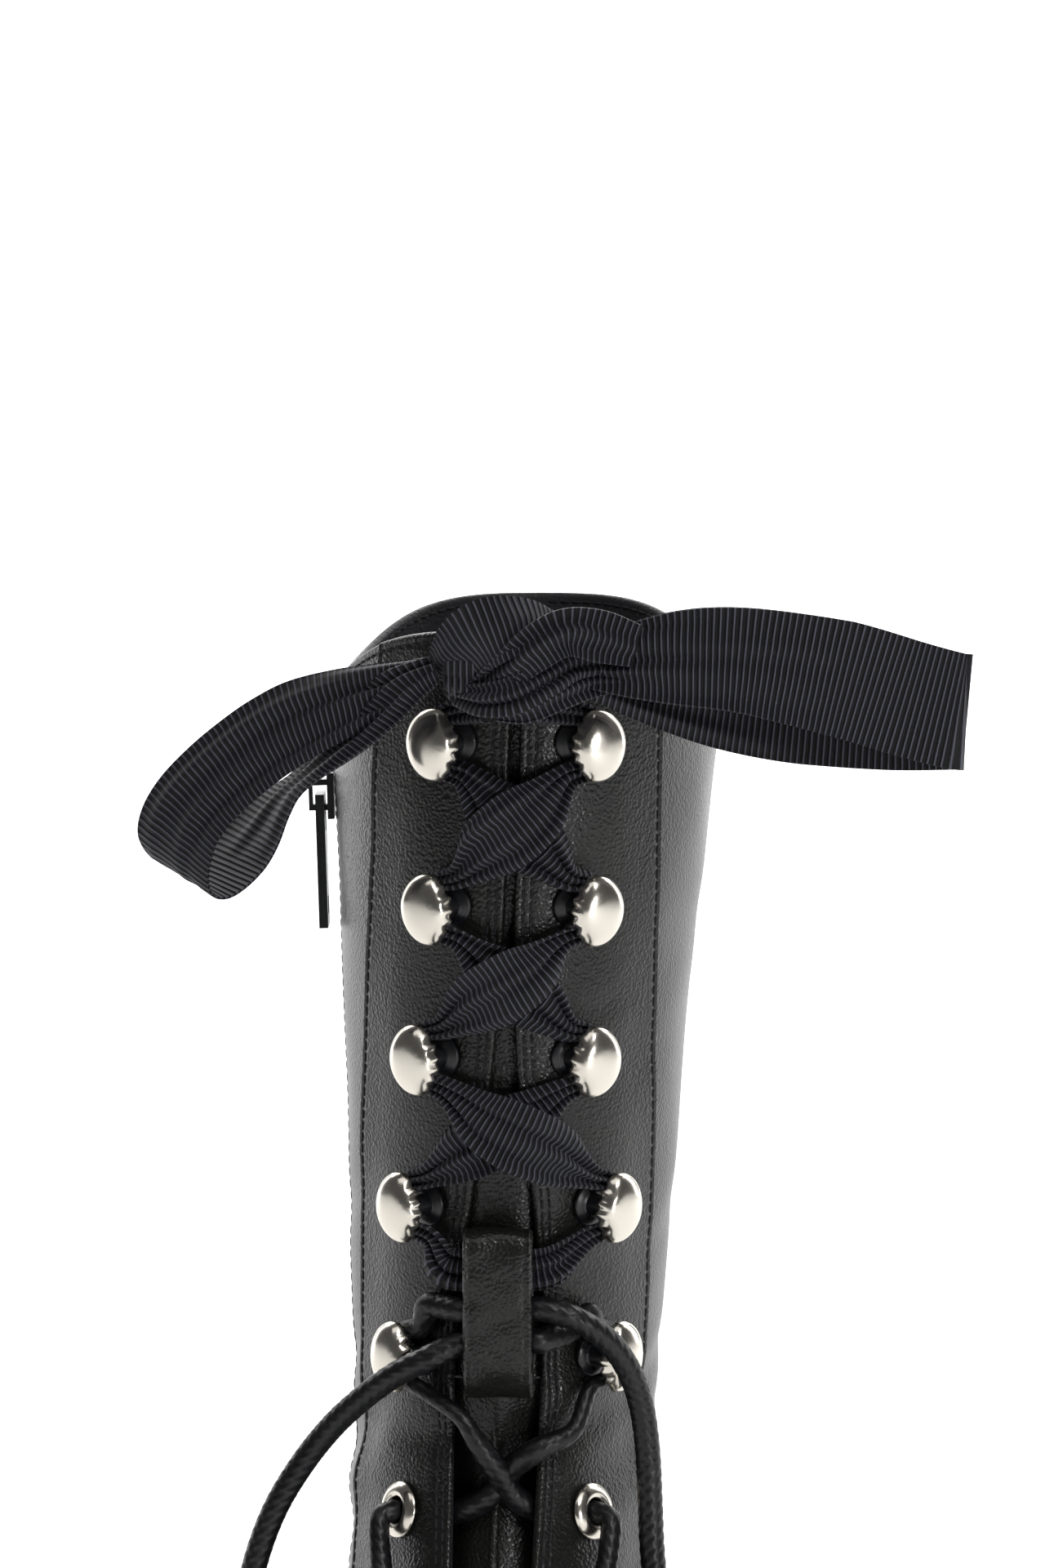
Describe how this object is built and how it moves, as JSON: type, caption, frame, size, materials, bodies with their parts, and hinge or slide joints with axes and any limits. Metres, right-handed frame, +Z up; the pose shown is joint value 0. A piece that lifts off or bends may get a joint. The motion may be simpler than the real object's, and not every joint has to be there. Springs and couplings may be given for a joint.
{
  "type": "victorian lace up boot",
  "caption": "Black leather lace-up boot with a curved heel, side zip, boot hooks, a ribbon bow at the collar and a round cord below it.",
  "frame": {"origin": "on the ground at the middle of the heel's top piece", "axes": "+Z up, toe towards -Y, inner side of the foot towards -X"},
  "size_m": [0.1585, 0.2638, 0.3257],
  "materials": {
    "black_leather": "smooth polished black leather",
    "lining_leather": "matt black lining leather",
    "sole_leather": "blackened sole leather",
    "heel_cover": "black leather cover on the heel block",
    "heel_rubber": "matt black rubber",
    "polished_nickel": "polished nickel plate",
    "zip_tape": "black woven tape and coil",
    "black_metal": "black enamelled metal",
    "grosgrain_ribbon": "blue-black ribbed ribbon",
    "waxed_cord": "black waxed round cord"
  },
  "bodies": {
    "boot": {"upper": "black_leather", "tongue": "black_leather", "tongue_loop": "black_leather", "insole": "lining_leather", "outsole": "sole_leather", "heel": "heel_cover", "heel_top_piece": "heel_rubber", "hook_left_1": "polished_nickel", "hook_left_2": "polished_nickel", "hook_left_3": "polished_nickel", "hook_left_4": "polished_nickel", "hook_left_5": "polished_nickel", "eyelet_left_1": "polished_nickel", "eyelet_left_2": "polished_nickel", "eyelet_left_3": "polished_nickel", "eyelet_left_4": "polished_nickel", "hook_right_1": "polished_nickel", "hook_right_2": "polished_nickel", "hook_right_3": "polished_nickel", "hook_right_4": "polished_nickel", "hook_right_5": "polished_nickel", "eyelet_right_1": "polished_nickel", "eyelet_right_2": "polished_nickel", "eyelet_right_3": "polished_nickel", "eyelet_right_4": "polished_nickel", "zip": "zip_tape", "zip_slider": "black_metal", "ribbon_lacing": "grosgrain_ribbon", "ribbon_knot": "grosgrain_ribbon", "ribbon_loop_left": "grosgrain_ribbon", "ribbon_loop_right": "grosgrain_ribbon", "cord_bar_left_1": "waxed_cord", "cord_bar_right_1": "waxed_cord", "cord_bar_left_2": "waxed_cord", "cord_bar_right_2": "waxed_cord", "cord_bar_foot": "waxed_cord", "cord_crossing_low": "waxed_cord", "cord_crossing_top": "waxed_cord", "cord_end_left": "waxed_cord", "cord_end_right": "waxed_cord", "aglet_left": "black_metal", "aglet_right": "black_metal"},
    "zip_pull": {"zip_pull": "black_metal"}
  },
  "joints": [
    {"name": "zip_pull_hinge", "type": "hinge", "parent": "boot", "child": "zip_pull", "pos_m": [-0.03703, -0.00513, 0.28315], "axis": [-0.0303, 0.9994, 0.0143], "range_deg": [0, 165]}
  ]
}
